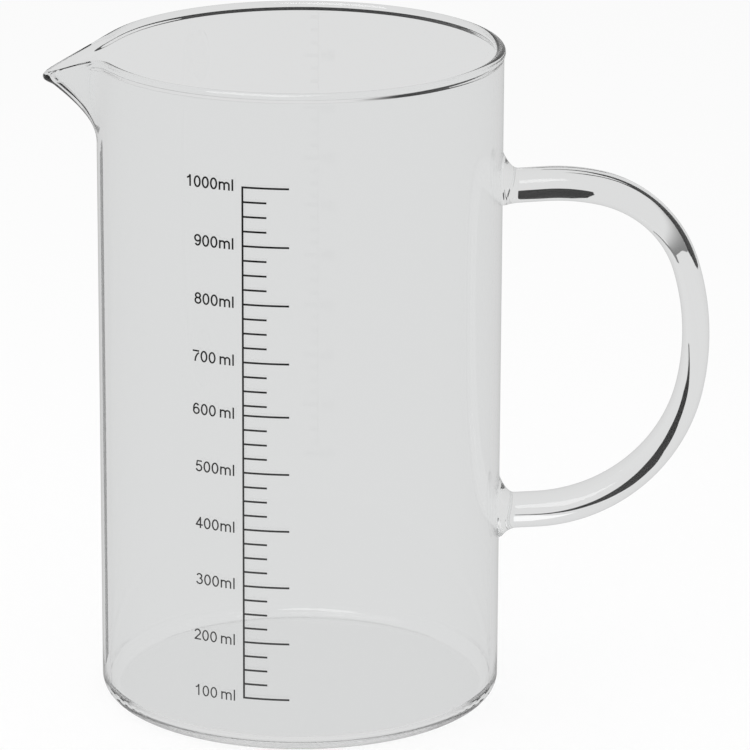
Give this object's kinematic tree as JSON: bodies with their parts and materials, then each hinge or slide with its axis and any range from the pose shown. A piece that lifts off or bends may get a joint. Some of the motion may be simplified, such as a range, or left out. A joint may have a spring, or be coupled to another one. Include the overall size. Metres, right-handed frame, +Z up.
{
  "type": "measuring jug",
  "caption": "Straight-sided clear glass measuring jug with a pulled pouring spout, a loop handle sealed to the wall and a printed millilitre scale, for measuring and pouring liquids.",
  "frame": {"origin": "centre of the flat base, on the surface that the jug stands on", "axes": "+Z up along the vessel's axis, +X towards the handle, -X towards the spout, -Y towards the side with the printed scale"},
  "size_m": [0.1616, 0.0988, 0.1628],
  "materials": {
    "glass": "clear fire-polished borosilicate glass",
    "enamel": "thin fired black print"
  },
  "bodies": {
    "root": {"jug_body": "glass", "handle": "glass", "upper_handle_seal": "glass", "lower_handle_seal": "glass", "scale_spine": "enamel", "scale_long_marks": "enamel", "scale_short_marks": "enamel"}
  },
  "joints": []
}
